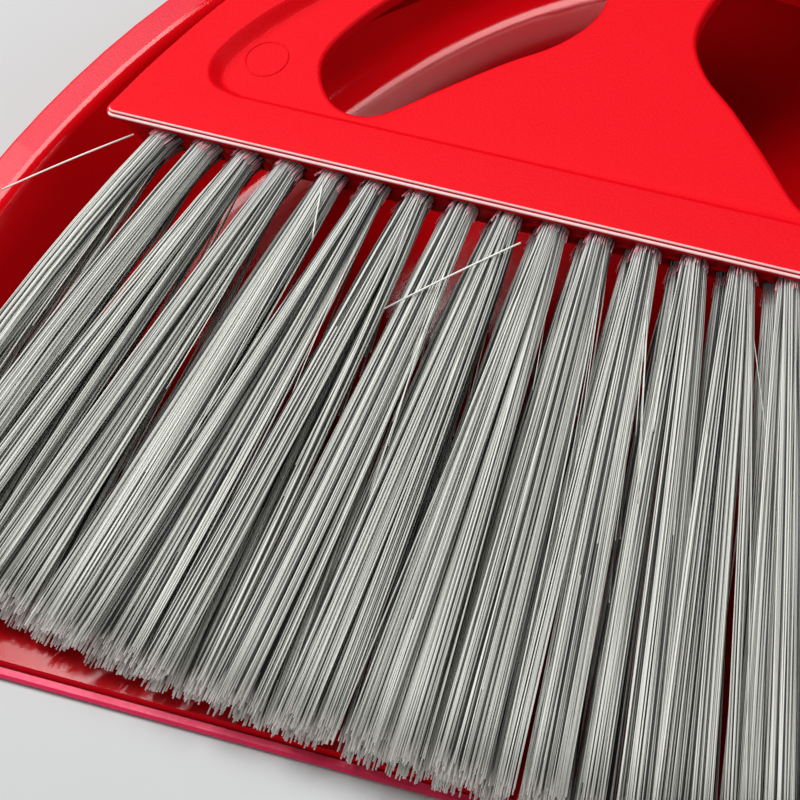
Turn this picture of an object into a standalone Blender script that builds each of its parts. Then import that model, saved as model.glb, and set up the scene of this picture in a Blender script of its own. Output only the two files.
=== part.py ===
"""Hand dustpan with a fan-shaped whisk brush lying in it.

Metres, +Z up.  The dustpan opens towards -Y and its handle points to +Y.  The world origin is the
middle of the whole outline, on the floor.  Sizes below are millimetres; the builder turns them
into metres when it makes each mesh.

The dustpan is drawn in its own frame, whose origin is the middle of the front lip on the floor.
The brush is drawn in its own frame, whose origin is the middle of the block's front top edge.
"""

import math

import bmesh
import bpy
from mathutils import Matrix, Vector
from mathutils.geometry import delaunay_2d_cdt

MM = 0.001

# ---- whole object ----
TOTAL_LENGTH = 312.0
PAN_ORIGIN_Y = -TOTAL_LENGTH / 2.0

# ---- dustpan scoop ----
RIM_HALF_WIDTH = 125.0
RIM_CENTRE_Y = -20.0
RIM_DEPTH = 210.0
MOUTH_FLARE = 5.0
MOUTH_FLARE_LENGTH = 60.0
PAN_SKIN = 2.4
WALL_SKIN = 2.2
WALL_LEAN = math.radians(68.0)
FLOOR_FILLET = 8.0
RIM_LAND = 5.5
RIM_ROLL = 2.5
RIM_THICKNESS = 2.2
RIM_EDGE_ROUND = 0.6
RIM_HEIGHT_MOUTH = 11.0
RIM_HEIGHT_SIDE = 32.0
RIM_HEIGHT_BACK = 25.9
RIM_SIDE_Y = 118.0
STATIONS_PER_SIDE = 34

# ---- lip ----
STRIP_DEPTH = 1.6
STRIP_THICKNESS = 1.1
STRIP_GAP = 0.3
RAMP_END_Y = 6.6
BODY_FRONT_Y = STRIP_DEPTH + STRIP_GAP

# ---- dustpan handle ----
PAN_HANDLE_TOP = 25.5
PAN_HANDLE_THICKNESS = 13.0
PAN_HANDLE_ROUND = 2.5
PAN_HANDLE_ROOT_HALF = 21.0
PAN_HANDLE_WAIST_HALF = 11.5
PAN_HANDLE_END_HALF = 14.0
HANG_HOLE_RADIUS = 5.0

# ---- brush ----
BRUSH_TURN = math.radians(-2.65)
BRUSH_PIVOT_Y = 100.0
BRUSH_PIVOT_PAN_Y = 184.25
BLOCK_TOP = 41.5
HANDLE_BOTTOM = 26.5
HEAD_BOTTOM = 29.5
HANDLE_ROUND = 4.0
CORNER_ROUND = 1.8
FLANGE_STEP = 0.5
FLANGE_ROUND = 0.35
FLANGE_DEPTH = 1.5
HEAD_SETBACK_FRONT = 0.8
HEAD_SETBACK_SIDE = 2.4
UNDERCUT_TOP = 37.9
UNDERCUT_LEAN = math.tan(math.radians(20.0))
UNDERCUT_FADE = 12.0
RECESS_DEPTH = 2.4
RECESS_SLOPE = 2.4
RECESS_FRONT_Y = 10.2
OPENING_ROUND = 0.8
PLATE_THICKNESS = 3.0
POCKET_INSET = 2.0
POCKET_FRONT_INSET = 0.5
CHANNEL_SKIN = 3.0

# ---- bristles ----
TUFTS_PER_ROW = 19
TUFT_PITCH = 8.0
TUFT_RADIUS = 2.05
HOLE_RADIUS = 2.35
HOLE_DEPTH = 7.0
FAN_STEP = math.radians(3.3)
TIP_REACH = 83.3
TIP_ARC = 0.00084
ROWS = {
    "upper": {"shift": 0.0, "drop": 4.3, "tip_z": 9.6, "tip_scale": 0.98},
    "lower": {"shift": -2.7, "drop": 8.7, "tip_z": 5.1, "tip_scale": 0.93},
}
TIP_HALF_THICKNESS = 1.8

RED = (0.80, 0.012, 0.022)
LIP_PINK = (0.83, 0.055, 0.13)
BRISTLE_GREY = (0.42, 0.44, 0.42)


# ------------------------------------------------------------------ helpers
def clear_scene():
    for item in list(bpy.data.objects):
        bpy.data.objects.remove(item, do_unlink=True)


def plain_material(name, colour, roughness):
    material = bpy.data.materials.new(name)
    material.use_nodes = True
    shader = material.node_tree.nodes["Principled BSDF"]
    shader.inputs["Base Color"].default_value = (*colour, 1.0)
    shader.inputs["Roughness"].default_value = roughness
    shader.inputs["Metallic"].default_value = 0.0
    material.diffuse_color = (*colour, 1.0)
    return material


def finish_object(name, bm, material, place):
    """Turns a millimetre mesh into a named object in world metres."""
    bmesh.ops.remove_doubles(bm, verts=bm.verts, dist=0.01)
    bmesh.ops.dissolve_degenerate(bm, dist=0.001, edges=bm.edges)
    bmesh.ops.recalc_face_normals(bm, faces=bm.faces)
    bm.transform(Matrix.Scale(MM, 4) @ place)
    mesh = bpy.data.meshes.new(name)
    bm.to_mesh(mesh)
    bm.free()
    for polygon in mesh.polygons:
        polygon.use_smooth = True
    mesh.materials.append(material)
    item = bpy.data.objects.new(name, mesh)
    bpy.context.scene.collection.objects.link(item)
    return item


def pan_place():
    return Matrix.Translation((0.0, PAN_ORIGIN_Y, 0.0))


def brush_place():
    to_pivot = Matrix.Translation((0.0, -BRUSH_PIVOT_Y, 0.0))
    turn = Matrix.Rotation(BRUSH_TURN, 4, "Z")
    into_pan = Matrix.Translation((0.0, BRUSH_PIVOT_PAN_Y, 0.0))
    return pan_place() @ into_pan @ turn @ to_pivot


def smooth_step(value):
    value = min(1.0, max(0.0, value))
    return value * value * (3.0 - 2.0 * value)


def spline(points, per_span, closed):
    """Catmull-Rom curve through the given points."""
    count = len(points)
    spans = count if closed else count - 1
    curve = []
    for i in range(spans):
        if closed:
            p0, p1, p2, p3 = (Vector(points[(i + k) % count]) for k in (-1, 0, 1, 2))
        else:
            p1 = Vector(points[i])
            p2 = Vector(points[i + 1])
            p0 = Vector(points[i - 1]) if i > 0 else p1 - (p2 - p1)
            p3 = Vector(points[i + 2]) if i + 2 < count else p2 + (p2 - p1)
        for step in range(per_span):
            t = step / per_span
            curve.append(
                0.5
                * (
                    2.0 * p1
                    + (p2 - p0) * t
                    + (2.0 * p0 - 5.0 * p1 + 4.0 * p2 - p3) * t * t
                    + (3.0 * p1 - p0 - 3.0 * p2 + p3) * t * t * t
                )
            )
    if not closed:
        curve.append(Vector(points[-1]))
    return curve


def signed_area(loop):
    total = 0.0
    for a, b in zip(loop, loop[1:] + loop[:1]):
        total += a[0] * b[1] - b[0] * a[1]
    return total / 2.0


def counter_clockwise(loop):
    return loop if signed_area(loop) > 0 else loop[::-1]


def inset(loop, distances):
    """Moves each point of a counter-clockwise loop inwards by its own distance."""
    moved = []
    count = len(loop)
    for i, point in enumerate(loop):
        before = (point - loop[i - 1]).normalized()
        after = (loop[(i + 1) % count] - point).normalized()
        normal_a = Vector((-before.y, before.x))
        normal_b = Vector((-after.y, after.x))
        mean = (normal_a + normal_b).normalized()
        stretch = 1.0 / max(0.5, mean.dot(normal_a))
        moved.append(point + mean * distances[i] * stretch)
    return moved


def add_loop(bm, loop, heights):
    if not isinstance(heights, list):
        heights = [heights] * len(loop)
    return [bm.verts.new((p.x, p.y, z)) for p, z in zip(loop, heights)]


def bridge(bm, first, second):
    count = len(first)
    for i in range(count):
        j = (i + 1) % count
        bm.faces.new((first[i], first[j], second[j], second[i]))


def bridge_stack(bm, loops):
    for first, second in zip(loops, loops[1:]):
        bridge(bm, first, second)


def inside_loop(point, loop):
    """True when a point lies inside a closed loop."""
    inside = False
    for a, b in zip(loop, loop[1:] + loop[:1]):
        if (a.y > point.y) != (b.y > point.y):
            crossing = a.x + (point.y - a.y) / (b.y - a.y) * (b.x - a.x)
            if crossing > point.x:
                inside = not inside
    return inside


def fill(bm, outer, holes=()):
    """Flat area between an outer ring of vertices and any number of inner rings."""
    verts = []
    edges = []
    for ring in [outer, *holes]:
        first = len(verts)
        verts.extend(ring)
        edges.extend((first + i, first + (i + 1) % len(ring)) for i in range(len(ring)))
    flat = [v.co.xy for v in verts]
    inside_outline = 1
    result = delaunay_2d_cdt(flat, edges, [], inside_outline, 0.00001)
    source = [origins[0] for origins in result[3]]
    hole_loops = [[v.co.xy for v in ring] for ring in holes]
    for triangle in result[2]:
        corners = [verts[source[i]] for i in triangle]
        middle = sum((c.co.xy for c in corners), Vector((0.0, 0.0))) / 3.0
        if not any(inside_loop(middle, loop) for loop in hole_loops):
            bm.faces.new(corners)


def edge_round_stack(bm, loop, radii, z_edge, up, steps, inwards=1.0):
    """Loops that round a vertical wall over into a flat face, and one holding loop beyond it."""
    loops = []
    for step in range(steps + 1):
        angle = math.pi / 2.0 * step / steps
        offsets = [inwards * r * (1.0 - math.cos(angle)) for r in radii]
        heights = [z_edge - up * r * (1.0 - math.sin(angle)) for r in radii]
        loops.append(add_loop(bm, inset(loop, offsets), heights))
    hold = [inwards * (r + 0.3) for r in radii]
    loops.append(add_loop(bm, inset(loop, hold), z_edge))
    return loops


def arc(centre_x, centre_y, radius, start, end, pieces):
    """Points of an arc; start and end are degrees."""
    points = []
    for i in range(pieces + 1):
        angle = math.radians(start + (end - start) * i / pieces)
        points.append(Vector((centre_x + radius * math.cos(angle),
                              centre_y + radius * math.sin(angle))))
    return points


def mirrored(points):
    return [Vector((-p.x, p.y)) for p in reversed(points)]


def circle_loop(x, y, radius, count):
    return [
        Vector((x + radius * math.cos(2 * math.pi * i / count),
                y + radius * math.sin(2 * math.pi * i / count)))
        for i in range(count)
    ]


def through_hole(bm, loop, z_top, z_bottom, radius, steps=3):
    """Rounded hole through a plate; returns the top and the bottom ring."""
    radii = [radius] * len(loop)
    top = edge_round_stack(bm, loop, radii, z_top, 1.0, steps, inwards=-1.0)
    bottom = edge_round_stack(bm, loop, radii, z_bottom, -1.0, steps, inwards=-1.0)
    bridge_stack(bm, top)
    bridge_stack(bm, bottom)
    bridge(bm, top[0], bottom[0])
    return top[-1], bottom[-1]


# ------------------------------------------------------------------ dustpan
def rim_point(y):
    """Half width of the rim's outer edge at a distance behind the lip."""
    part = (y - RIM_CENTRE_Y) / RIM_DEPTH
    flare = MOUTH_FLARE * max(0.0, 1.0 - y / MOUTH_FLARE_LENGTH) ** 2
    return RIM_HALF_WIDTH * math.sqrt(max(0.0, 1.0 - part * part)) + flare


def rim_height(y):
    if y < RIM_SIDE_Y:
        grow = math.sin(math.pi / 2.0 * y / RIM_SIDE_Y)
        return RIM_HEIGHT_MOUTH + (RIM_HEIGHT_SIDE - RIM_HEIGHT_MOUTH) * grow
    back = RIM_CENTRE_Y + RIM_DEPTH
    fall = smooth_step((y - RIM_SIDE_Y) / (back - RIM_SIDE_Y))
    return RIM_HEIGHT_SIDE + (RIM_HEIGHT_BACK - RIM_HEIGHT_SIDE) * fall


def floor_height(y):
    if y >= RAMP_END_Y:
        return PAN_SKIN
    part = (y - BODY_FRONT_Y) / (RAMP_END_Y - BODY_FRONT_Y)
    return STRIP_THICKNESS + (PAN_SKIN - STRIP_THICKNESS) * part


def rim_stations():
    """Left half of the rim, front to back: (point, outward normal) pairs, the last on the axis."""
    back = RIM_CENTRE_Y + RIM_DEPTH
    fronts = [BODY_FRONT_Y, RAMP_END_Y]
    first_angle = math.asin((13.0 - RIM_CENTRE_Y) / RIM_DEPTH)
    ys = list(fronts)
    for i in range(STATIONS_PER_SIDE):
        angle = first_angle + (math.pi / 2.0 - first_angle) * i / STATIONS_PER_SIDE
        ys.append(RIM_CENTRE_Y + RIM_DEPTH * math.sin(angle))
    stations = []
    for y in ys:
        here = Vector((-rim_point(y), y))
        step = 0.05
        ahead = Vector((-rim_point(y + step), y + step))
        along = (ahead - here).normalized()
        outward = Vector((-along.y, along.x))
        stations.append((here, outward))
    stations[0] = (stations[0][0], Vector((-1.0, 0.0)))
    stations.append((Vector((0.0, back)), Vector((0.0, 1.0))))
    return stations


def wall_section(height, floor):
    """Cross-section of the wall as (distance in from the rim edge, height) pairs.

    It runs from the scoop's floor, up the inner wall, over the rim and down the outer wall.
    """
    lean_cos = 1.0 - math.cos(WALL_LEAN)
    lean_sin = math.sin(WALL_LEAN)
    rise = height - floor
    roll = min(RIM_ROLL, 0.25 * rise)
    fillet = min(FLOOR_FILLET, (rise - roll * lean_cos) * 0.9)
    straight = (rise - (fillet + roll) * lean_cos) / lean_sin
    wall_top = RIM_LAND + roll * lean_sin
    fillet_top = wall_top + straight * math.cos(WALL_LEAN)
    floor_end = fillet_top + fillet * lean_sin

    inner = [(floor_end + 3.0, floor)]
    for step in range(8):
        angle = WALL_LEAN * step / 7
        inner.append((floor_end - fillet * math.sin(angle), floor + fillet * (1.0 - math.cos(angle))))
    for step in range(4):
        angle = WALL_LEAN * (1.0 - step / 3)
        inner.append((RIM_LAND + roll * math.sin(angle), height - roll * (1.0 - math.cos(angle))))
    edge = RIM_EDGE_ROUND
    rim = [
        (RIM_LAND - 0.5, height),
        (edge + 0.4, height),
        (edge, height),
        (edge * 0.3, height - edge * 0.3),
        (0.0, height - edge),
        (0.0, height - RIM_THICKNESS),
        (0.4, height - RIM_THICKNESS - 0.3),
    ]
    shift = WALL_SKIN / lean_sin
    outer_top = height - RIM_THICKNESS - 0.3
    outer_fillet = min(fillet + WALL_SKIN, max(0.5, outer_top * 0.8))
    top_d = max(1.2, wall_top - shift + (roll * lean_cos) / math.tan(WALL_LEAN) * -1.0)
    bottom_rise = outer_fillet * lean_cos
    bottom_d = top_d + max(0.0, outer_top - bottom_rise) / math.tan(WALL_LEAN)
    outer = [(top_d, outer_top)]
    for step in range(5):
        angle = WALL_LEAN * (1.0 - step / 4)
        outer.append((bottom_d + outer_fillet * (lean_sin - math.sin(angle)),
                      outer_fillet * (1.0 - math.cos(angle))))
    outer.append((floor_end + 3.0, 0.0))
    return inner + rim + outer


def build_scoop(bm):
    stations = rim_stations()
    rows = []
    for here, outward in stations:
        section = wall_section(rim_height(here.y), floor_height(here.y))
        rows.append([(here - outward * d, z) for d, z in section])
    left = [[bm.verts.new((p.x, p.y, z)) for p, z in row] for row in rows[:-1]]
    right = [[bm.verts.new((-p.x, p.y, z)) for p, z in row] for row in rows[:-1]]
    middle = [bm.verts.new((0.0, p.y, z)) for p, z in rows[-1]]
    for side in (left, right):
        path = side + [middle]
        for first, second in zip(path, path[1:]):
            for i in range(len(first) - 1):
                bm.faces.new((first[i], first[i + 1], second[i + 1], second[i]))
    for end in (0, -1):
        for i in range(len(left) - 1):
            bm.faces.new((left[i][end], left[i + 1][end], right[i + 1][end], right[i][end]))
        bm.faces.new((left[-1][end], middle[end], right[-1][end]))
    bm.faces.new(left[0] + right[0][::-1])


def handle_front(x):
    """The handle's front end lies inside the thickness of the scoop's back wall."""
    across = x / RIM_HALF_WIDTH
    return RIM_CENTRE_Y + RIM_DEPTH * math.sqrt(1.0 - across * across) - 6.6


def pan_handle_outline():
    back = RIM_CENTRE_Y + RIM_DEPTH
    corner_x = PAN_HANDLE_ROOT_HALF - 3.4
    front = [Vector((corner_x * i / 5, handle_front(corner_x * i / 5))) for i in range(5)]
    corner = arc(corner_x, handle_front(corner_x) + 3.4, 3.4, -90.0, 0.0, 5)
    side = [
        (PAN_HANDLE_ROOT_HALF - 0.3, back - 1.0),
        (14.5, back + 12.0),
        (PAN_HANDLE_WAIST_HALF, back + 34.0),
        (12.5, back + 70.0),
        (PAN_HANDLE_END_HALF, back + 98.0),
        (13.0, back + 112.0),
        (7.5, TOTAL_LENGTH - 1.8),
        (0.0, TOTAL_LENGTH),
    ]
    right = front + corner + spline(side, 3, closed=False)
    left = mirrored(right[1:-1])
    return counter_clockwise(right + left)


def build_pan_handle(bm):
    outline = pan_handle_outline()
    radii = [PAN_HANDLE_ROUND] * len(outline)
    top = edge_round_stack(bm, outline, radii, PAN_HANDLE_TOP, 1.0, 4)
    bottom_z = PAN_HANDLE_TOP - PAN_HANDLE_THICKNESS
    bottom = edge_round_stack(bm, outline, radii, bottom_z, -1.0, 4)
    bridge_stack(bm, top)
    bridge_stack(bm, bottom)
    bridge(bm, top[0], bottom[0])
    hole = counter_clockwise(circle_loop(0.0, TOTAL_LENGTH - 14.0, HANG_HOLE_RADIUS, 24))
    hole_top, hole_bottom = through_hole(bm, hole, PAN_HANDLE_TOP, bottom_z, 1.0)
    fill(bm, top[-1], [hole_top])
    fill(bm, bottom[-1], [hole_bottom])
    lean_handle_front(bm)


def lean_handle_front(bm):
    """Slides the handle's front end along the leaning back wall so that it meets it everywhere."""
    back = RIM_CENTRE_Y + RIM_DEPTH
    for vert in bm.verts:
        near = smooth_step((back + 14.0 - vert.co.y) / 19.0)
        below = RIM_HEIGHT_BACK - 1.6 - vert.co.z
        vert.co.y -= near * max(0.0, below) / math.tan(WALL_LEAN)


def make_dustpan(material):
    scoop = bmesh.new()
    build_scoop(scoop)
    handle = bmesh.new()
    build_pan_handle(handle)
    body = finish_object("dustpan_body", scoop, material, pan_place())
    bar = finish_object("dustpan_handle_bar", handle, material, pan_place())
    join_solid(body, bar, "UNION")
    return body


def join_solid(target, other, operation):
    """Applies an exact Boolean of another object to the target and removes the other object."""
    modifier = target.modifiers.new("join", "BOOLEAN")
    modifier.operation = operation
    modifier.solver = "EXACT"
    modifier.object = other
    depsgraph = bpy.context.evaluated_depsgraph_get()
    mesh = bpy.data.meshes.new_from_object(target.evaluated_get(depsgraph))
    mesh.name = target.name
    target.modifiers.clear()
    target.data = mesh
    bpy.data.objects.remove(other, do_unlink=True)
    clean = bmesh.new()
    clean.from_mesh(mesh)
    bmesh.ops.remove_doubles(clean, verts=clean.verts, dist=0.00001)
    bmesh.ops.dissolve_degenerate(clean, dist=0.000001, edges=clean.edges)
    bmesh.ops.recalc_face_normals(clean, faces=clean.faces)
    clean.to_mesh(mesh)
    clean.free()
    for polygon in mesh.polygons:
        polygon.use_smooth = True


def make_lip_strip(material):
    """Soft strip along the front edge that lets the pan seal against the floor."""
    half = rim_point(0.0) - 6.5
    section = [
        (0.0, 0.35),
        (0.35, 0.0),
        (STRIP_DEPTH, 0.0),
        (STRIP_DEPTH, STRIP_THICKNESS),
        (0.45, STRIP_THICKNESS),
        (0.0, STRIP_THICKNESS - 0.4),
    ]
    bm = bmesh.new()
    rings = []
    pieces = 24
    for i in range(pieces + 1):
        x = -half + 2.0 * half * i / pieces
        rings.append([bm.verts.new((x, y, z)) for y, z in section])
    bridge_stack(bm, rings)
    bm.faces.new(rings[0])
    bm.faces.new(rings[-1])
    return finish_object("lip_strip", bm, material, pan_place())


# ------------------------------------------------------------------ brush block
def handle_share(y):
    """0 along the head of the brush and 1 along its handle."""
    return smooth_step((y - 30.0) / 60.0)


def head_bottom(y):
    """The underside is higher under the head than under the handle."""
    return HEAD_BOTTOM + (HANDLE_BOTTOM - HEAD_BOTTOM) * smooth_step((y - 62.0) / 16.0)


def block_outline(front_in=0.0, side_in=0.0):
    """Outer edge of the block and its handle, moved in at the front and at the head's sides."""
    end = 82.9 - CORNER_ROUND - side_in
    corner = arc(end, CORNER_ROUND + front_in, CORNER_ROUND, -90.0, 8.0, 6)
    side = [
        (82.3, 3.9),
        (79.0, 14.4),
        (73.3, 28.5),
        (64.0, 45.5),
        (50.5, 60.5),
        (34.0, 73.0),
        (21.5, 85.0),
        (16.0, 100.0),
        (14.6, 120.0),
        (15.6, 150.0),
        (17.0, 178.0),
        (16.0, 196.0),
        (9.5, 207.5),
        (0.0, 211.0),
    ]
    side = [(x - side_in * (1.0 - handle_share(y)), y) for x, y in side]
    right = corner + spline(side, 4, closed=False)
    left = mirrored(right[:-1])
    front = [Vector((end * (i - 10) / 10, front_in)) for i in range(1, 20)]
    return counter_clockwise(front + right + left)


def opening_outline(side):
    """One of the two finger openings; side is -1 for the left one and 1 for the right one."""
    points = [
        (35.9, 14.9),
        (40.8, 12.9),
        (46.0, 14.4),
        (50.4, 19.6),
        (51.3, 25.6),
        (47.6, 34.8),
        (40.0, 45.5),
        (29.0, 54.5),
        (18.5, 60.0),
        (11.8, 58.5),
        (9.1, 51.5),
        (9.0, 43.5),
        (13.2, 36.4),
        (20.2, 30.4),
        (28.0, 22.9),
    ]
    loop = spline([(side * x, y) for x, y in points], 4, closed=True)
    return counter_clockwise(loop)


def recess_outline():
    """Edge of the shallow recess in the block's top face."""
    side = [
        (61.5, RECESS_FRONT_Y),
        (66.5, 11.8),
        (68.2, 16.8),
        (65.2, 24.8),
        (59.8, 33.0),
        (51.0, 43.5),
        (39.0, 54.5),
        (26.0, 64.0),
        (13.0, 70.5),
        (0.0, 72.5),
    ]
    right = spline(side, 4, closed=False)
    left = mirrored(right[:-1])
    front = [Vector((-56.0 + 112.0 * i / 14, RECESS_FRONT_Y)) for i in range(15)]
    return counter_clockwise(front + right + left)


def channel_outline():
    """Hollow in the underside of the handle."""
    side = [
        (0.0, 84.0),
        (7.0, 85.5),
        (11.5, 93.0),
        (12.4, 105.0),
        (11.6, 120.0),
        (12.6, 150.0),
        (14.0, 178.0),
        (13.2, 194.0),
        (7.6, 204.0),
        (0.0, 207.0),
    ]
    right = spline(side, 3, closed=False)
    left = mirrored(right[1:-1])
    return counter_clockwise(right + left)


def flange_profile():
    """Edge of the head's top flange, top to bottom, as (distance in, depth) pairs.

    Two small rounded edges stand one above the other with a narrow step between them.
    """
    turn = [math.sin(math.radians(a)) for a in (0.0, 30.0, 60.0, 90.0)]
    rise = [1.0 - math.cos(math.radians(a)) for a in (0.0, 30.0, 60.0, 90.0)]
    upper = [(FLANGE_STEP + FLANGE_ROUND * (1.0 - s), FLANGE_ROUND * r) for s, r in zip(turn, rise)]
    lower = [(FLANGE_ROUND * (1.0 - s), 0.6 + FLANGE_ROUND * r) for s, r in zip(turn, rise)]
    hold = [(FLANGE_STEP + FLANGE_ROUND + 0.3, 0.0)]
    return hold + upper + [(FLANGE_STEP - 0.02, 0.58)] + lower + [(0.0, FLANGE_DEPTH)]


def handle_profile(count):
    """The handle's rounded top edge with as many points as the flange's profile."""
    points = [(HANDLE_ROUND + 0.3, 0.0)]
    for i in range(count - 2):
        angle = math.pi / 2.0 * i / (count - 3)
        points.append((HANDLE_ROUND * (1.0 - math.sin(angle)), HANDLE_ROUND * (1.0 - math.cos(angle))))
    return points + [(0.0, HANDLE_ROUND + 1.0)]


def top_edge(bm):
    """Loops down the outside of the block's top edge: flange round the head, soft round the handle."""
    outline = block_outline()
    head = flange_profile()
    handle = handle_profile(len(head))
    loops = []
    for (head_in, head_depth), (handle_in, handle_depth) in zip(head, handle):
        shares = [handle_share(p.y) for p in outline]
        insets = [head_in + (handle_in - head_in) * s for s in shares]
        heights = [BLOCK_TOP - head_depth - (handle_depth - head_depth) * s for s in shares]
        loops.append(add_loop(bm, inset(outline, insets), heights))
    return loops


def lower_loop(bm, depth_in, z_of_point):
    """One loop round the body below the flange; its front leans back underneath."""
    outline = block_outline(HEAD_SETBACK_FRONT, HEAD_SETBACK_SIDE)
    placed = []
    heights = []
    for point in inset(outline, [depth_in] * len(outline)):
        z = z_of_point(point)
        back = max(0.0, UNDERCUT_TOP - z) * UNDERCUT_LEAN * max(0.0, 1.0 - point.y / UNDERCUT_FADE)
        placed.append(Vector((point.x, point.y + back)))
        heights.append(z)
    return add_loop(bm, placed, heights)


def below_edge(bm):
    """Loops from under the flange down to the flat underside."""
    under = BLOCK_TOP - FLANGE_DEPTH

    def neck(point):
        return under - (HANDLE_ROUND + 1.3 - FLANGE_DEPTH) * handle_share(point.y)

    def middle(point):
        return UNDERCUT_TOP - 3.2 * handle_share(point.y)

    loops = [
        lower_loop(bm, 0.0, neck),
        lower_loop(bm, 0.0, middle),
        lower_loop(bm, 0.0, lambda p: head_bottom(p.y) + 0.8),
        lower_loop(bm, 0.25, lambda p: head_bottom(p.y) + 0.25),
        lower_loop(bm, 0.8, lambda p: head_bottom(p.y)),
    ]
    return loops


def recess_wall(bm, outline):
    """Soft step from the block's top face down to the recess floor."""
    loops = []
    steps = 6
    for step in range(steps + 1):
        part = step / steps
        across = RECESS_SLOPE * (part - 0.5)
        drop = RECESS_DEPTH * (1.0 - math.cos(math.pi * part)) / 2.0
        loops.append(add_loop(bm, inset(outline, [across] * len(outline)), BLOCK_TOP - drop))
    bridge_stack(bm, loops)
    return loops[0], loops[-1]


def handle_channel(bm):
    """Walls and ceiling of the hollow under the handle, with a sleeve round the hanging hole."""
    outline = channel_outline()
    ceiling = BLOCK_TOP - CHANNEL_SKIN
    foot = add_loop(bm, outline, HANDLE_BOTTOM)
    head = add_loop(bm, inset(outline, [0.5] * len(outline)), ceiling)
    bridge(bm, foot, head)
    hang_y = 197.0
    hole = counter_clockwise(circle_loop(0.0, hang_y, 4.5, 24))
    sleeve = counter_clockwise(circle_loop(0.0, hang_y, 6.6, 24))
    sleeve_foot = add_loop(bm, sleeve, HANDLE_BOTTOM)
    sleeve_head = add_loop(bm, sleeve, ceiling)
    bridge(bm, sleeve_foot, sleeve_head)
    radii = [1.0] * len(hole)
    top = edge_round_stack(bm, hole, radii, BLOCK_TOP, 1.0, 3, inwards=-1.0)
    bridge_stack(bm, top)
    hole_foot = add_loop(bm, hole, HANDLE_BOTTOM)
    bridge(bm, top[0], hole_foot)
    bridge(bm, hole_foot, sleeve_foot)
    fill(bm, head, [sleeve_head])
    return foot, top[-1]


def pocket_wall(bm):
    """Hollow under the recess that leaves the head a thin plate; returns its foot and its ceiling."""
    outline = recess_outline()
    front_share = [1.0 - smooth_step((p.y - RECESS_FRONT_Y) / 6.0) for p in outline]
    loop = inset(outline, [POCKET_INSET + (POCKET_FRONT_INSET - POCKET_INSET) * s for s in front_share])
    foot = add_loop(bm, loop, [head_bottom(p.y) for p in loop])
    head = add_loop(bm, loop, BLOCK_TOP - RECESS_DEPTH - PLATE_THICKNESS)
    bridge(bm, foot, head)
    return foot, head


def build_block(bm):
    top = top_edge(bm)
    lower = below_edge(bm)
    bridge_stack(bm, top)
    bridge(bm, top[-1], lower[0])
    bridge_stack(bm, lower)

    recess_top, recess_floor = recess_wall(bm, recess_outline())
    floor_z = BLOCK_TOP - RECESS_DEPTH
    opening_tops = []
    opening_feet = []
    for side in (-1, 1):
        loop = opening_outline(side)
        head, foot = through_hole(bm, loop, floor_z, floor_z - PLATE_THICKNESS, OPENING_ROUND)
        opening_tops.append(head)
        opening_feet.append(foot)
    pocket_foot, pocket_head = pocket_wall(bm)
    channel_foot, hang_top = handle_channel(bm)
    fill(bm, top[0], [recess_top, hang_top])
    fill(bm, recess_floor, opening_tops)
    fill(bm, pocket_head, opening_feet)
    fill(bm, lower[-1], [pocket_foot, channel_foot])


# ------------------------------------------------------------------ bristles
def tuft_numbers():
    half = TUFTS_PER_ROW // 2
    return range(-half, half + 1)


def tuft_root(row, number):
    return Vector((number * TUFT_PITCH + row["shift"], 0.0, BLOCK_TOP - row["drop"]))


def tuft_tip(row, number):
    spread = (13.4 * number - 0.022 * number ** 3) * row["tip_scale"] + row["shift"] * 0.5
    reach = -TIP_REACH + TIP_ARC * spread * spread
    return Vector((spread, reach, row["tip_z"]))


def tuft_direction(row, number):
    root = tuft_root(row, number)
    tip = tuft_tip(row, number)
    turn = FAN_STEP * number
    fall = (tip.z - root.z) / (root.y - tip.y)
    return Vector((math.sin(turn), -math.cos(turn), fall * math.cos(turn))).normalized()


def hole_direction(number):
    """Holes are level and fan out with the tufts."""
    turn = FAN_STEP * number
    return Vector((math.sin(turn), -math.cos(turn), 0.0))


def hole_cutters(bm):
    for row in ROWS.values():
        for number in tuft_numbers():
            direction = hole_direction(number)
            turn = direction.to_track_quat("Z", "Y").to_matrix().to_4x4()
            middle = Matrix.Translation(tuft_root(row, number) - direction * (HOLE_DEPTH / 2.0 - 1.5))
            bmesh.ops.create_cone(
                bm, cap_ends=True, segments=14, radius1=HOLE_RADIUS, radius2=HOLE_RADIUS,
                depth=HOLE_DEPTH + 3.0, matrix=middle @ turn,
            )


def make_block(material):
    body = bmesh.new()
    build_block(body)
    block = finish_object("brush_block", body, material, brush_place())
    cutters = bmesh.new()
    hole_cutters(cutters)
    drill = finish_object("tuft_holes", cutters, material, brush_place())
    join_solid(block, drill, "DIFFERENCE")
    return block


def tuft_axis(row, number, part):
    """Point on the tuft's bent centre line; part runs 0 at the block's face to 1 at the tip."""
    root = tuft_root(row, number)
    tip = tuft_tip(row, number)
    reach = (tip - root).length
    bend = root + tuft_direction(row, number) * reach * 0.45
    return root * (1 - part) ** 2 + bend * 2 * part * (1 - part) + tip * part ** 2


def tuft_half_width(row, number, part):
    neighbour = number - 1 if number > 0 else number + 1
    gap = (tuft_axis(row, number, part) - tuft_axis(row, neighbour, part)).length
    return min(0.455 * gap, TUFT_RADIUS + 4.2 * part)


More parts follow.
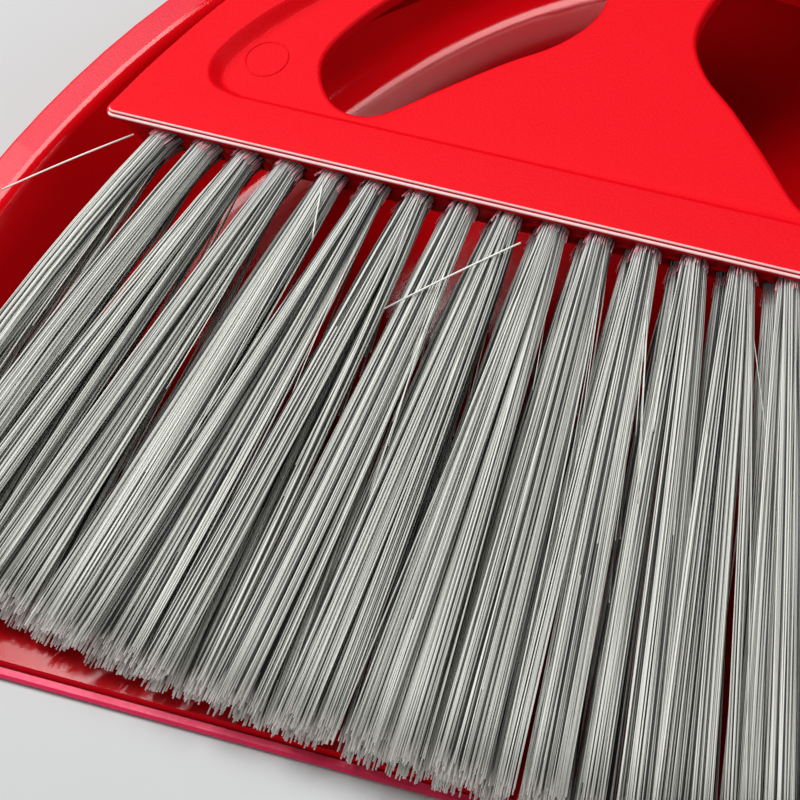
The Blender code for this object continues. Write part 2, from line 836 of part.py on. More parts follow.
def make_tuft(name, row, number, material):
    bm = bmesh.new()
    sides = 12
    rings = []
    root = tuft_root(row, number)
    direction = hole_direction(number)
    sections = [(root - direction * (HOLE_DEPTH - 0.8), TUFT_RADIUS, TUFT_RADIUS)]
    sections.append((root + direction * 0.2, TUFT_RADIUS, TUFT_RADIUS))
    for part in (0.06, 0.25, 0.5, 0.75, 1.0):
        half_width = tuft_half_width(row, number, part)
        half_thickness = TUFT_RADIUS + (TIP_HALF_THICKNESS - TUFT_RADIUS) * part
        sections.append((tuft_axis(row, number, part), half_width, half_thickness))
    centres = [s[0] for s in sections]
    for i, (centre, half_width, half_thickness) in enumerate(sections):
        before = centres[max(0, i - 1)]
        after = centres[min(len(centres) - 1, i + 1)]
        along = (after - before).normalized()
        across = along.cross(Vector((0.0, 0.0, 1.0))).normalized()
        upright = across.cross(along).normalized()
        if i == len(sections) - 1:
            across = Vector((-1.0, 0.0, 0.0))
            upright = Vector((0.0, 0.0, 1.0))
        ring = []
        for k in range(sides):
            angle = 2.0 * math.pi * k / sides
            offset = across * half_width * math.cos(angle) + upright * half_thickness * math.sin(angle)
            ring.append(bm.verts.new(centre + offset))
        rings.append(ring)
    bridge_stack(bm, rings)
    bm.faces.new(rings[0])
    bm.faces.new(rings[-1])
    return finish_object(name, bm, material, brush_place())


# ------------------------------------------------------------------ assembly
def main():
    clear_scene()
    pan_red = plain_material("dustpan_red_plastic", RED, 0.38)
    block_red = plain_material("brush_red_plastic", RED, 0.42)
    lip_pink = plain_material("lip_soft_plastic", LIP_PINK, 0.45)
    grey = plain_material("bristle_grey_nylon", BRISTLE_GREY, 0.4)
    make_dustpan(pan_red)
    make_lip_strip(lip_pink)
    make_block(block_red)
    for row_name, row in ROWS.items():
        for place, number in enumerate(tuft_numbers(), start=1):
            make_tuft(f"tuft_{row_name}_{place:02d}", row, number, grey)


main()
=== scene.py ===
"""Looks of the dustpan and brush: moulded red plastic, a soft lip and a fan of grey bristles.

Metres, +Z up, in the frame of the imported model.  The dustpan opens towards -Y.
"""
import math

import bmesh
import bpy
import numpy as np
from mathutils import Euler, Matrix, Vector


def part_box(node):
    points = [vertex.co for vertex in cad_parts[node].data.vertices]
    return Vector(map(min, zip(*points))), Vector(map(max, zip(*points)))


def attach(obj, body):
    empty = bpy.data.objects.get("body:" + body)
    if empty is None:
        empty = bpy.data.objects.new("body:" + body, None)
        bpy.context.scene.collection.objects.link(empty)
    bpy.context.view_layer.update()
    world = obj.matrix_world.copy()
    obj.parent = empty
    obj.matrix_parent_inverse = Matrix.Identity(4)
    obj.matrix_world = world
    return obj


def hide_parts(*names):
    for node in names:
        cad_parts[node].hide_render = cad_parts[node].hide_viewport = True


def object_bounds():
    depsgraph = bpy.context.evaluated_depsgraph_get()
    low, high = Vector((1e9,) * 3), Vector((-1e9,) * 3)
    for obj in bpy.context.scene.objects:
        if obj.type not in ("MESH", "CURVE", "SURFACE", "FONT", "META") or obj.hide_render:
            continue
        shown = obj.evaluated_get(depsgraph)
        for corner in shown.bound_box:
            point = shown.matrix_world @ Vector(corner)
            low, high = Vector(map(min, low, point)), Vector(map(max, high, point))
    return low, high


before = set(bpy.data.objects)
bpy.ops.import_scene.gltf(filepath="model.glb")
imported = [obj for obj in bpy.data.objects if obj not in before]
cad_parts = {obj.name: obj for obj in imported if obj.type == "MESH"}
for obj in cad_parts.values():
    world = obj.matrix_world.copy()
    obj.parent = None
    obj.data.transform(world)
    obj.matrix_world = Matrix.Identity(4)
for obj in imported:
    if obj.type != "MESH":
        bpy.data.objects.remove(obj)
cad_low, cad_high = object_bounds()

# ---- camera ----
CAMERA_PLACE = (0.11507, -0.29882, 0.37104)
CAMERA_TURN = (33.626, 9.724, 20.606)
CAMERA_LENS = 117.0
SENSOR_WIDTH = 36.0

# ---- brush frame: origin at the middle of the block's front top edge ----
BRUSH_TURN = math.radians(-2.65)
BRUSH_PIVOT = 0.100
BRUSH_PIVOT_WORLD_Y = 0.02825
BLOCK_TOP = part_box("brush_block")[1].z
RECESS_DEPTH = 0.0024

# ---- fan of bristles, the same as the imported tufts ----
TUFTS_PER_ROW = 19
TUFT_PITCH = 0.008
FAN_STEP = math.radians(3.3)
TIP_REACH = 0.0833
TIP_ARC = 0.84
TIP_STEP = 0.0134
TIP_CROWDING = 0.000022
ROWS = {
    "upper": {"shift": 0.0, "drop": 0.0043, "tip_z": 0.0096, "tip_scale": 0.98,
              "bush": 1.04},
    "lower": {"shift": -0.0027, "drop": 0.0087, "tip_z": 0.0051, "tip_scale": 0.93,
              "bush": 1.22},
}
BEND_PLACE = 0.45

# ---- filaments ----
FILAMENTS_PER_TUFT = 165
FILAMENT_RADIUS = 0.00015
FILAMENT_SIDES = 4
FILAMENT_RINGS = 9
BUNDLE_RADIUS = 0.00205
BUNDLE_DEPTH = 0.0060
TIP_HALF_THICKNESS = 0.0019
OPENING_POWER = 0.85
CLUMPS = 5
CLUMP_PULL = 0.46
LOOSE_SHARE = 0.07
# share of filaments made nearly black: painted shadow for the dark gaps among the bristles
PAINTED_SHADOW_SHARE = 0.20
CUT_SHORT = 0.024
CUT_LONG = 0.016
BURR_WHISKERS = 34
BURR_RADIUS = 0.00006
BURR_RING_RADIUS = 0.00228
BURR_ROOT_DEPTH = 0.0012
STRAY_RADIUS = 0.00016
SIDE_STRAND_RADIUS = 0.00009
GOLDEN_ANGLE = math.pi * (3.0 - math.sqrt(5.0))
SEED = 7
SIDE_STRAND_SEED = 77
BURR_SEED = 99


# ---- bristles lying loose on the fan ----
# Each end is a bundle number, 0 in the middle, and a share of the way to the tips.
STRAYS = [
    {"start": (-2.5, 0.25), "end": (-0.5, 0.05)},
    {"start": (-9.5, 0.02), "end": (-11.0, 0.25)},
    {"start": (-5.0, 0.02), "end": (-4.5, 0.15)},
    {"start": (2.75, 0.20), "end": (2.75, 0.35)},
]
STRAY_SAG = 0.0003

# ---- ejector-pin rings on the recess floor ----
RING_RADIUS = 0.0038
RING_THICKNESS = 0.00022
RING_SINK = 0.00004
RING_PLACE = (0.061, 0.020)

# ---- stage ----
FLOOR_HALF_SIZE = 3.0
FLOOR_GAP = 0.0002
WORLD_STRENGTH = 0.02
LIGHT_DISTANCE = 1.2
LIGHTS = {
    "key": {"direction": (-0.27, 0.12, 0.95), "size": 0.70, "power": 9.6},
    "left": {"direction": (-0.75, 0.15, 0.60), "size": 0.40, "power": 5.0},
    "front": {"direction": (0.10, -0.70, 0.70), "size": 0.40, "power": 1.8},
    "right": {"direction": (0.85, 0.05, 0.50), "size": 0.50, "power": 2.6},
}


# ------------------------------------------------------------------ small helpers
def brush_to_world():
    """Matrix that takes points of the brush frame to the world."""
    back = Matrix.Translation((0.0, -BRUSH_PIVOT, 0.0))
    turn = Matrix.Rotation(BRUSH_TURN, 4, "Z")
    place = Matrix.Translation((0.0, BRUSH_PIVOT_WORLD_Y, 0.0))
    return place @ turn @ back


def add_object(name, mesh, material):
    item = bpy.data.objects.new(name, mesh)
    bpy.context.scene.collection.objects.link(item)
    mesh.materials.append(material)
    return item


# ------------------------------------------------------------------ materials
def new_material(name, base, roughness):
    material = bpy.data.materials.new(name)
    material.use_nodes = True
    shader = material.node_tree.nodes["Principled BSDF"]
    shader.inputs["Base Color"].default_value = (*base, 1.0)
    shader.inputs["Roughness"].default_value = roughness
    return material, material.node_tree, shader


def noise(tree, scale, detail, roughness=0.5):
    """Solid noise in object space; scale is in cycles per metre."""
    place = tree.nodes.new("ShaderNodeTexCoord")
    node = tree.nodes.new("ShaderNodeTexNoise")
    node.inputs["Scale"].default_value = scale
    node.inputs["Detail"].default_value = detail
    node.inputs["Roughness"].default_value = roughness
    tree.links.new(place.outputs["Object"], node.inputs["Vector"])
    return node.outputs["Fac"]


def remap(tree, value, low, high, to_low, to_high):
    node = tree.nodes.new("ShaderNodeMapRange")
    node.inputs["From Min"].default_value = low
    node.inputs["From Max"].default_value = high
    node.inputs["To Min"].default_value = to_low
    node.inputs["To Max"].default_value = to_high
    tree.links.new(value, node.inputs["Value"])
    return node.outputs["Result"]


def math_node(tree, operation, first, second):
    node = tree.nodes.new("ShaderNodeMath")
    node.operation = operation
    for socket, value in zip(node.inputs, (first, second)):
        if isinstance(value, (int, float)):
            socket.default_value = value
        else:
            tree.links.new(value, socket)
    return node.outputs["Value"]


def blend_colours(tree, amount, first, second):
    node = tree.nodes.new("ShaderNodeMix")
    node.data_type = "RGBA"
    tree.links.new(amount, node.inputs["Factor"])
    for socket, value in ((node.inputs["A"], first), (node.inputs["B"], second)):
        if isinstance(value, tuple):
            socket.default_value = (*value, 1.0)
        else:
            tree.links.new(value, socket)
    return node.outputs["Result"]


def bump(tree, shader, height, distance, strength):
    node = tree.nodes.new("ShaderNodeBump")
    node.inputs["Distance"].default_value = distance
    node.inputs["Strength"].default_value = strength
    tree.links.new(height, node.inputs["Height"])
    tree.links.new(node.outputs["Normal"], shader.inputs["Normal"])


def dustpan_plastic():
    """Glossy moulded red; the flat bottom is a darker red, painted shade for the shadow under the brush;
    the flat land of the rim has a satin grain, with a pinker tint that is painted sheen.
    """
    material, tree, shader = new_material("dustpan_red", (0.80, 0.012, 0.022), 0.35)
    shader.inputs["Specular IOR Level"].default_value = 0.5
    where = tree.nodes.new("ShaderNodeNewGeometry")
    split_normal = tree.nodes.new("ShaderNodeSeparateXYZ")
    split_place = tree.nodes.new("ShaderNodeSeparateXYZ")
    tree.links.new(where.outputs["True Normal"], split_normal.inputs["Vector"])
    tree.links.new(where.outputs["Position"], split_place.inputs["Vector"])
    facing_up = remap(tree, split_normal.outputs["Z"], 0.985, 0.995, 0.0, 1.0)
    above_floor = remap(tree, split_place.outputs["Z"], 0.006, 0.008, 0.0, 1.0)
    land = math_node(tree, "MULTIPLY", facing_up, above_floor)
    fine = noise(tree, 2600.0, 3.0, 0.65)
    cloudy = noise(tree, 45.0, 3.0)
    smooth_red = blend_colours(tree, cloudy, (0.80, 0.006, 0.016), (0.74, 0.004, 0.010))
    # Grained land: real grain, with a pinker tint that is painted sheen of its satin haze.
    grain_and_sheen_red = blend_colours(tree, fine, (0.86, 0.030, 0.065), (0.66, 0.010, 0.030))
    # Painted shade: the whole flat bottom gets a darker red, standing in for the shadow under the brush
    # head and bristles.
    floor_shade_mask = math_node(tree, "MULTIPLY", facing_up, math_node(tree, "SUBTRACT", 1.0, above_floor))
    painted_shade_red = blend_colours(tree, cloudy, (0.50, 0.002, 0.007), (0.44, 0.001, 0.005))
    inside_red = blend_colours(tree, floor_shade_mask, smooth_red, painted_shade_red)
    tree.links.new(blend_colours(tree, land, inside_red, grain_and_sheen_red), shader.inputs["Base Color"])
    grain_rough = math_node(tree, "MULTIPLY", land, 0.36)
    smooth_rough = remap(tree, cloudy, 0.3, 0.7, 0.08, 0.12)
    tree.links.new(math_node(tree, "ADD", smooth_rough, grain_rough), shader.inputs["Roughness"])
    land_grain = math_node(tree, "MULTIPLY", fine, math_node(tree, "ADD", land, 0.12))
    bump(tree, shader, land_grain, 0.00012, 0.8)
    return material


def brush_plastic():
    """Satin red with a fine sparkling grain."""
    material, tree, shader = new_material("brush_red", (0.84, 0.006, 0.014), 0.4)
    shader.inputs["Specular IOR Level"].default_value = 0.12
    edge_highlight_paint = tree.nodes.new("ShaderNodeAttribute")
    edge_highlight_paint.attribute_name = "edge_highlight_paint"
    fine = noise(tree, 3200.0, 2.0, 0.7)
    cloudy = noise(tree, 60.0, 3.0)
    speck = remap(tree, fine, 0.35, 0.65, 0.0, 1.0)
    red = blend_colours(tree, speck, (0.72, 0.004, 0.011), (0.84, 0.010, 0.023))
    body = blend_colours(tree, cloudy, red, (0.80, 0.006, 0.016))
    # Painted highlight: a pale pink on the marked front edges stands in for the highlight lines of their
    # small rounds.
    pale = math_node(tree, "MULTIPLY", edge_highlight_paint.outputs["Fac"], remap(tree, cloudy, 0.3, 0.7, 0.75, 1.0))
    tree.links.new(blend_colours(tree, pale, body, (1.0, 0.80, 0.80)), shader.inputs["Base Color"])
    tree.links.new(remap(tree, fine, 0.3, 0.7, 0.34, 0.52), shader.inputs["Roughness"])
    bump(tree, shader, fine, 0.00010, 0.6)
    return material


def lip_plastic():
    material, tree, shader = new_material("lip_pink", (0.86, 0.060, 0.15), 0.38)
    fine = noise(tree, 1500.0, 3.0, 0.6)
    pink = blend_colours(tree, fine, (0.84, 0.050, 0.15), (0.74, 0.030, 0.10))
    tree.links.new(pink, shader.inputs["Base Color"])
    tree.links.new(remap(tree, fine, 0.3, 0.7, 0.30, 0.46), shader.inputs["Roughness"])
    bump(tree, shader, fine, 0.00006, 0.5)
    return material


def bristle_nylon():
    """Grey filaments, each with its own shade: darker at the root as painted shade, paler at the cut
    tip.

    A shade from 0 to 1 goes from dark to light grey, and one well below 0 is nearly black, as painted
    shadow for the dark gaps among the bristles.
    """
    material, tree, shader = new_material("bristle_nylon", (0.45, 0.46, 0.43), 0.38)
    shade = tree.nodes.new("ShaderNodeAttribute")
    shade.attribute_name = "shade"
    along = tree.nodes.new("ShaderNodeAttribute")
    along.attribute_name = "along"
    level = remap(tree, shade.outputs["Fac"], 0.0, 1.0, 0.0, 1.0)
    strand = blend_colours(tree, level, (0.48, 0.485, 0.45), (0.92, 0.925, 0.865))
    # Painted shade: the first part of each filament is darker, standing in for the shade inside the
    # packed bundle near the block.
    root_shade_fade = remap(tree, along.outputs["Fac"], 0.0, 0.30, 0.0, 1.0)
    shaded_root_grey = blend_colours(tree, level, (0.34, 0.34, 0.34), (0.56, 0.56, 0.55))
    grey = blend_colours(tree, root_shade_fade, shaded_root_grey, strand)
    # Painted shadow: filaments with a shade well below 0 become nearly black.
    painted_shadow_mix = remap(tree, shade.outputs["Fac"], -0.5, -0.1, 1.0, 0.0)
    body = blend_colours(tree, painted_shadow_mix, grey, (0.07, 0.07, 0.07))
    tip = remap(tree, along.outputs["Fac"], 0.975, 1.0, 0.0, 1.0)
    tree.links.new(blend_colours(tree, tip, body, (0.95, 0.90, 0.86)), shader.inputs["Base Color"])
    fine = noise(tree, 4000.0, 2.0)
    tree.links.new(remap(tree, fine, 0.3, 0.7, 0.32, 0.46), shader.inputs["Roughness"])
    bump(tree, shader, fine, 0.00002, 0.4)
    return material


def burr_plastic():
    """Whitened red plastic where the drill tore it."""
    material, tree, shader = new_material("burr_pink", (0.90, 0.40, 0.45), 0.5)
    fine = noise(tree, 1800.0, 3.0)
    pink = blend_colours(tree, fine, (0.88, 0.20, 0.26), (0.95, 0.62, 0.66))
    tree.links.new(pink, shader.inputs["Base Color"])
    tree.links.new(remap(tree, fine, 0.3, 0.7, 0.40, 0.60), shader.inputs["Roughness"])
    bump(tree, shader, fine, 0.00002, 0.4)
    return material


def floor_paint():
    material, tree, shader = new_material("floor_pale", (0.58, 0.585, 0.585), 0.9)
    grain = noise(tree, 30.0, 2.0)
    pale = blend_colours(tree, grain, (0.575, 0.585, 0.586), (0.585, 0.595, 0.596))
    tree.links.new(pale, shader.inputs["Base Color"])
    return material


# ------------------------------------------------------------------ bristles
def bundle_number(place):
    """Bundles count from the middle one, which is 0; place counts from 1 at the left end."""
    return place - 1 - TUFTS_PER_ROW // 2


def level_direction(number):
    """The level direction in which a bundle leaves the block."""
    turn = FAN_STEP * number
    return np.array((math.sin(turn), -math.cos(turn), 0.0))


def tuft_root(row, number):
    return Vector((number * TUFT_PITCH + row["shift"], 0.0, BLOCK_TOP - row["drop"]))


def tuft_tip(row, number):
    fan = TIP_STEP * number - TIP_CROWDING * number ** 3
    spread = fan * row["tip_scale"] + row["shift"] * 0.5
    return Vector((spread, -TIP_REACH + TIP_ARC * spread * spread, row["tip_z"]))


def tuft_direction(row, number):
    root = tuft_root(row, number)
    tip = tuft_tip(row, number)
    turn = FAN_STEP * number
    fall = (tip.z - root.z) / (root.y - tip.y)
    return Vector((math.sin(turn), -math.cos(turn), fall * math.cos(turn))).normalized()


def tuft_axis(row, number, part):
    """Points on a tuft's bent centre line; part is an array, 0 at the block's face and 1 at the tip."""
    root = tuft_root(row, number)
    tip = tuft_tip(row, number)
    bend = root + tuft_direction(row, number) * (tip - root).length * BEND_PLACE
    root, bend, tip = (np.array(p) for p in (root, bend, tip))
    part = part[..., None]
    return root * (1 - part) ** 2 + bend * 2 * part * (1 - part) + tip * part ** 2


def tuft_half_width(row, number):
    neighbour = number - 1 if number > 0 else number + 1
    return 0.5 * (tuft_tip(row, number) - tuft_tip(row, neighbour)).length


def bundle_section(dice):
    """Where each filament sits in the bundle: at the root and at the tip, in units of the half size."""
    count = FILAMENTS_PER_TUFT
    index = np.arange(count)
    radius = np.sqrt((index + 0.5) / count)
    angle = index * GOLDEN_ANGLE + dice.uniform(0.0, 2.0 * math.pi)
    root = np.stack([radius * np.cos(angle), radius * np.sin(angle)], axis=1)
    root += dice.normal(0.0, 0.02, root.shape)
    centres = dice.uniform(-0.85, 0.85, (CLUMPS, 2))
    shifts = dice.normal(0.0, 1.0, (CLUMPS, 2)) * (0.13, 0.28)
    nearest = np.argmin(np.linalg.norm(root[:, None] - centres[None], axis=2), axis=1)
    tip = root + (centres[nearest] - root) * CLUMP_PULL + shifts[nearest]
    tip += dice.normal(0.0, 0.05, tip.shape)
    loose = dice.uniform(0.0, 1.0, count) < LOOSE_SHARE
    tip[loose] += dice.normal(0.0, 0.40, tip.shape)[loose]
    return root, tip


def filament_paths(row, number, dice):
    """Centre lines of one tuft's filaments, as an array (filament, ring, xyz)."""
    root, tip = bundle_section(dice)
    count = len(root)
    end = 1.0 + dice.uniform(-CUT_SHORT, CUT_LONG, count)
    steps = np.linspace(0.0, 1.0, FILAMENT_RINGS)
    part = steps[None, :] * end[:, None]
    centre = tuft_axis(row, number, part)
    direction = np.array(tuft_direction(row, number))
    across = np.cross(direction, (0.0, 0.0, 1.0))
    across /= np.linalg.norm(across)
    upright = np.cross(across, direction)
    across_tip = np.array((-1.0, 0.0, 0.0))
    lean = across * (1 - part[..., None]) + across_tip * part[..., None]
    half_width = tuft_half_width(row, number) * row["bush"]
    opened = part ** OPENING_POWER
    side = root[:, None, 0] * BUNDLE_RADIUS * (1 - part) + tip[:, None, 0] * half_width * opened
    up = root[:, None, 1] * BUNDLE_RADIUS * (1 - part) + tip[:, None, 1] * TIP_HALF_THICKNESS * part
    bow = dice.normal(0.0, 0.00012, count)[:, None] * np.sin(math.pi * np.clip(part, 0.0, 1.0))
    paths = centre + lean * (side + bow)[..., None] + upright * up[..., None]
    start = paths[:, :1] - level_direction(number) * BUNDLE_DEPTH
    return np.concatenate([start, paths], axis=1)


def tube_faces(count, rings, sides):
    """Quads of many closed tubes as one loop list, then the loop total of each face."""
    ring = np.arange(rings - 1)[:, None] * sides
    k = np.arange(sides)[None, :]
    j = (k + 1) % sides
    quads = np.stack([ring + k, ring + j, ring + sides + j, ring + sides + k], axis=-1).reshape(-1)
    first_cap = np.arange(sides)[::-1]
    last_cap = (rings - 1) * sides + np.arange(sides)
    one = np.concatenate([quads, first_cap, last_cap])
    totals = np.concatenate([np.full((rings - 1) * sides, 4), [sides, sides]])
    starts = np.arange(count)[:, None] * (rings * sides)
    return (one[None, :] + starts).ravel(), np.tile(totals, count)


def tubes_mesh(name, paths, radius, shades):
    """One mesh of closed round tubes along the given centre lines."""
    count, rings, _ = paths.shape
    sides = FILAMENT_SIDES
    along = np.gradient(paths, axis=1)
    along /= np.linalg.norm(along, axis=2, keepdims=True)
    across = np.cross(along, (0.0, 0.0, 1.0))
    across /= np.linalg.norm(across, axis=2, keepdims=True)
    upright = np.cross(across, along)
    angles = 2.0 * math.pi * (np.arange(sides) + 0.5) / sides
    circle = across[:, :, None] * np.cos(angles)[:, None] + upright[:, :, None] * np.sin(angles)[:, None]
    points = (paths[:, :, None] + circle * radius).reshape(-1, 3)
    loops, totals = tube_faces(count, rings, sides)
    mesh = bpy.data.meshes.new(name)
    mesh.vertices.add(len(points))
    mesh.vertices.foreach_set("co", points.ravel())
    mesh.loops.add(len(loops))
    mesh.loops.foreach_set("vertex_index", loops)
    mesh.polygons.add(len(totals))
    mesh.polygons.foreach_set("loop_start", np.concatenate([[0], np.cumsum(totals)[:-1]]))
    mesh.update(calc_edges=True)
    mesh.validate()
    mesh.shade_smooth()
    shade = mesh.attributes.new("shade", "FLOAT", "POINT")
    shade.data.foreach_set("value", np.repeat(shades, rings * sides).astype(np.float32))
    part = np.linspace(0.0, 1.0, rings)[None, :, None] * np.ones((count, 1, sides))
    place = mesh.attributes.new("along", "FLOAT", "POINT")
    place.data.foreach_set("value", part.ravel().astype(np.float32))
    return mesh


def make_tuft(row_name, place, material):
    row = ROWS[row_name]
    number = bundle_number(place)
    dice = np.random.default_rng([SEED, list(ROWS).index(row_name), place])
    paths = filament_paths(row, number, dice)
    shades = np.clip(dice.normal(0.5, 0.26, len(paths)), 0.0, 1.0)
    # Painted shadow: this share of filaments is made nearly black to stand for the dark gaps between
    # bristles.
    shades[dice.uniform(0.0, 1.0, len(paths)) < PAINTED_SHADOW_SHARE] = -0.9
    mesh = tubes_mesh(f"bristles_{row_name}_{place:02d}", paths, FILAMENT_RADIUS, shades)
    mesh.transform(brush_to_world())
    tuft = add_object(mesh.name, mesh, material)
    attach(tuft, "brush")
    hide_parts(f"tuft_{row_name}_{place:02d}")


def straight_paths(starts, ends, sag):
    """Thin fibres from start to end with a little sag, as an array (fibre, ring, xyz)."""
    part = np.linspace(0.0, 1.0, FILAMENT_RINGS)[None, :, None]
    paths = starts[:, None] * (1.0 - part) + ends[:, None] * part
    paths[:, :, 2] += sag[:, None] * np.sin(math.pi * part[..., 0])
    return paths


def add_fibres(name, paths, radius, shades, material):
    mesh = tubes_mesh(name, paths, radius, shades)
    mesh.transform(brush_to_world())
    item = add_object(name, mesh, material)
    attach(item, "brush")


def on_top_of_fan(number, share):
    """A point one bundle radius above the upper row, at a bundle number and a share of its length."""
    return tuft_axis(ROWS["upper"], number, np.array([share]))[0] + (0.0, 0.0, BUNDLE_RADIUS)


def make_strays(material):
    """Single bristles that lie loose across the fan."""
    starts = np.array([on_top_of_fan(*stray["start"]) for stray in STRAYS])
    ends = np.array([on_top_of_fan(*stray["end"]) for stray in STRAYS])
    sag = np.full(len(STRAYS), STRAY_SAG)
    shades = np.full(len(STRAYS), 1.0)
    paths = straight_paths(starts, ends, sag)
    add_fibres("stray_bristles", paths, STRAY_RADIUS, shades, material)


def side_strands(row_name, fewest, most, radius, shade, material):
    """Thin bristles that leave each bundle sideways and cross the gap to the next one."""
    dice = np.random.default_rng([SEED, SIDE_STRAND_SEED, most])
    row = ROWS[row_name]
    starts = []
    ends = []
    for place in range(1, TUFTS_PER_ROW):
        number = bundle_number(place)
        root = np.array(tuft_root(row, number)) + (0.0012, -0.0004, 0.0)
        for _ in range(dice.integers(fewest, most)):
            part = dice.uniform(0.30, 0.70)
            here, beyond = (tuft_axis(row, n, np.array([part]))[0] for n in (number, number + 1))
            share = dice.uniform(0.25, 0.70)
            starts.append(root + dice.normal(0.0, 0.0004, 3))
            ends.append(here * (1.0 - share) + beyond * share + (0.0, 0.0, dice.normal(0.0, 0.0010)))
    starts = np.array(starts)
    sag = dice.normal(0.0, 0.0006, len(starts))
    paths = straight_paths(starts, np.array(ends), sag)
    shades = np.full(len(starts), shade)
    name = f"side_strands_{row_name}"
    add_fibres(name, paths, radius, shades, material)


def make_burrs(material):
    """Short pale whiskers of plastic round the drilled holes."""
    dice = np.random.default_rng([SEED, BURR_SEED])
    starts = []
    ends = []
    for row in ROWS.values():
        for place in range(1, TUFTS_PER_ROW + 1):
            number = bundle_number(place)
            level = level_direction(number)
            side = np.array((-level[1], level[0], 0.0))
            root = np.array(tuft_root(row, number))
            angle = dice.uniform(0.0, 2.0 * math.pi, BURR_WHISKERS)[:, None]
            rim = side * np.cos(angle) + np.array((0.0, 0.0, 1.0)) * np.sin(angle)
            length = dice.uniform(0.0004, 0.0016, BURR_WHISKERS)[:, None]
            spread = dice.uniform(0.0, 0.35, BURR_WHISKERS)[:, None]
            foot = root + rim * BURR_RING_RADIUS - level * BURR_ROOT_DEPTH
            starts.append(foot)
            ends.append(foot + level * (length + BURR_ROOT_DEPTH) + rim * spread * length)
    starts = np.concatenate(starts)
    paths = straight_paths(starts, np.concatenate(ends), np.zeros(len(starts)))
    add_fibres("hole_burrs", paths, BURR_RADIUS, np.ones(len(starts)), material)


def make_ring_marks(material):
    """Faint raised rings left by the mould's ejector pins on the recess floor."""
    for side, name in ((-1, "left"), (1, "right")):
        bpy.ops.mesh.primitive_torus_add(
            major_radius=RING_RADIUS, minor_radius=RING_THICKNESS, major_segments=64, minor_segments=10,
        )
        ring = bpy.context.object
        ring.name = f"ring_mark_{name}"
        place = Vector((side * RING_PLACE[0], RING_PLACE[1], BLOCK_TOP - RECESS_DEPTH - RING_SINK))
        ring.data.transform(brush_to_world() @ Matrix.Translation(place))
        ring.data.materials.append(material)
        ring.data.shade_smooth()
        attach(ring, "brush")


# ------------------------------------------------------------------ stage
def make_camera():
    data = bpy.data.cameras.new("camera")
    data.lens = CAMERA_LENS
    data.sensor_width = SENSOR_WIDTH
    data.clip_start = 0.01
    camera = bpy.data.objects.new("camera", data)
    camera.location = CAMERA_PLACE
    camera.rotation_euler = Euler([math.radians(a) for a in CAMERA_TURN], "XYZ")
    bpy.context.scene.collection.objects.link(camera)
    bpy.context.scene.camera = camera


def soft_light(name, direction, size, power):
    """Square area light in the given direction from the middle of the object, aimed at it."""
    data = bpy.data.lights.new(name, "AREA")
    data.shape = "SQUARE"
    data.size = size
    data.energy = power
    light = bpy.data.objects.new(name, data)
    towards = Vector(direction).normalized()
    light.location = towards * LIGHT_DISTANCE
    light.rotation_euler = towards.to_track_quat("Z", "Y").to_euler()
    bpy.context.scene.collection.objects.link(light)


def make_stage():
    mesh = bpy.data.meshes.new("floor")
    half = FLOOR_HALF_SIZE
    corners = [(-half, -half), (half, -half), (half, half), (-half, half)]
    mesh.from_pydata([(x, y, cad_low.z - FLOOR_GAP) for x, y in corners], [], [(0, 1, 2, 3)])
    floor = add_object("floor", mesh, floor_paint())
    world = bpy.data.worlds.new("studio")
    world.use_nodes = True
    background = world.node_tree.nodes["Background"]
    background.inputs["Color"].default_value = (1.0, 1.0, 1.0, 1.0)
    background.inputs["Strength"].default_value = WORLD_STRENGTH
    bpy.context.scene.world = world
    for name, light in LIGHTS.items():
        soft_light(name, light["direction"], light["size"], light["power"])
    bpy.context.scene.view_settings.view_transform = "Standard"
    bpy.context.scene.view_settings.look = "Medium High Contrast"


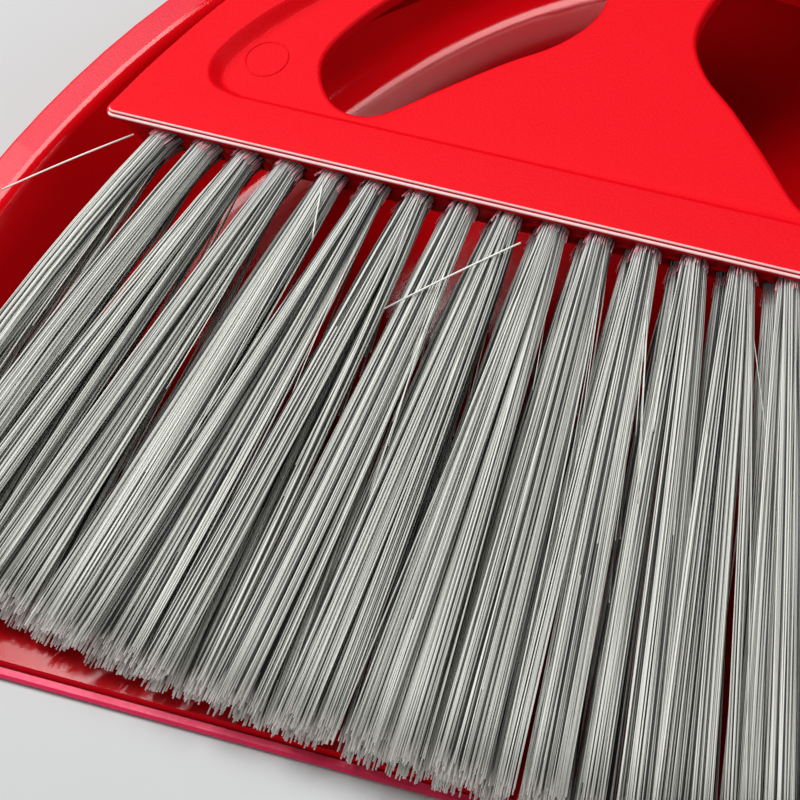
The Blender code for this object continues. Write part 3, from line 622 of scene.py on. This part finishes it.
# ------------------------------------------------------------------ assembly
def paint_edge_highlight(item):
    """Painted highlight: the two small rounded edges of the head's front and short side parts get a pale
    colour that stands in for their highlight lines.
    """
    to_brush = brush_to_world().inverted()
    mesh = item.data
    places = [to_brush @ vertex.co for vertex in mesh.vertices]
    values = []
    for place in places:
        depth = BLOCK_TOP - place.z
        from_front = place.y
        upper_edge = 0.00004 < depth < 0.0003 and from_front < 0.0012
        lower_edge = 0.00058 < depth < 0.0009 and from_front < 0.0006
        values.append(1.0 if upper_edge or lower_edge else 0.0)
    edge_highlight_paint = mesh.attributes.new("edge_highlight_paint", "FLOAT", "POINT")
    edge_highlight_paint.data.foreach_set("value", values)


def smooth_copy(node, body, material, sharp_degrees):
    """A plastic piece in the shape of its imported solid, shaded smooth except at its real corners."""
    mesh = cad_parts[node].data.copy()
    mesh.name = f"{node}_look"
    shape = bmesh.new()
    shape.from_mesh(mesh)
    bmesh.ops.remove_doubles(shape, verts=shape.verts, dist=0.00001)
    shape.to_mesh(mesh)
    shape.free()
    mesh.materials.clear()
    for polygon in mesh.polygons:
        polygon.material_index = 0
    mesh.shade_smooth()
    mesh.set_sharp_from_angle(angle=math.radians(sharp_degrees))
    item = add_object(mesh.name, mesh, material)
    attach(item, body)
    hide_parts(node)
    return item


def make_plastic():
    pan = smooth_copy("dustpan_body", "dustpan", dustpan_plastic(), 24.0)
    even_shading(pan)
    block = smooth_copy("brush_block", "brush", brush_plastic(), 32.0)
    paint_edge_highlight(block)
    even_shading(block)
    smooth_copy("lip_strip", "dustpan", lip_plastic(), 30.0)


def even_shading(item):
    """Large flat faces keep flat shading right up to their rounded edges."""
    weighted = item.modifiers.new("even_shading", "WEIGHTED_NORMAL")
    weighted.keep_sharp = True


def main():
    make_plastic()
    nylon = bristle_nylon()
    for row_name in ROWS:
        for place in range(1, TUFTS_PER_ROW + 1):
            make_tuft(row_name, place, nylon)
    make_strays(nylon)
    side_strands("upper", 2, 6, SIDE_STRAND_RADIUS, 1.0, nylon)
    # Painted shade: the lower cross strands get a dark grey that stands in for the shadow in the gaps
    # between bundles.
    side_strands("lower", 9, 16, FILAMENT_RADIUS, 0.1, nylon)
    make_burrs(burr_plastic())
    make_ring_marks(brush_plastic())
    make_camera()
    make_stage()


main()
